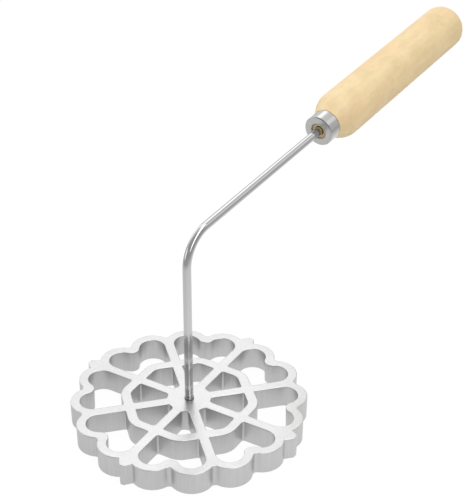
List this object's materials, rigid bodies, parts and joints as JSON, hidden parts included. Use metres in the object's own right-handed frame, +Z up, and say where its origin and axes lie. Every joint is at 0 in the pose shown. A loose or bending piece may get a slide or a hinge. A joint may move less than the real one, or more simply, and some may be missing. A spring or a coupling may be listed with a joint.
{
  "type": "rosette iron",
  "caption": "Scalloped cast mould with spokes and a ring, screwed to a bent steel rod with a turned wooden handle, for frying thin batter rosettes.",
  "frame": {"origin": "middle of the mould's flat underside, on the axis of its hub", "axes": "+Z up along the hub and the rod's upright; +X along the handle in plan, away from the hub"},
  "size_m": [0.2617, 0.1024, 0.1181],
  "materials": {
    "cast_aluminium": "cast walls, finely machined top face",
    "rod_steel": "polished wire",
    "plated_ferrule": "bright plated, satin end face",
    "turned_wood": "sanded pale hardwood, unvarnished"
  },
  "bodies": {
    "mould": {"rosette_mould": "cast_aluminium"},
    "handle_assembly": {"rod": "rod_steel", "ferrule": "plated_ferrule", "handle": "turned_wood"}
  },
  "joints": [
    {"name": "rod_screw", "type": "hinge", "parent": "mould", "child": "handle_assembly", "pos_m": [0, 0, 0.0102], "axis": [0, 0, 1], "range_deg": [0, 3700]}
  ]
}
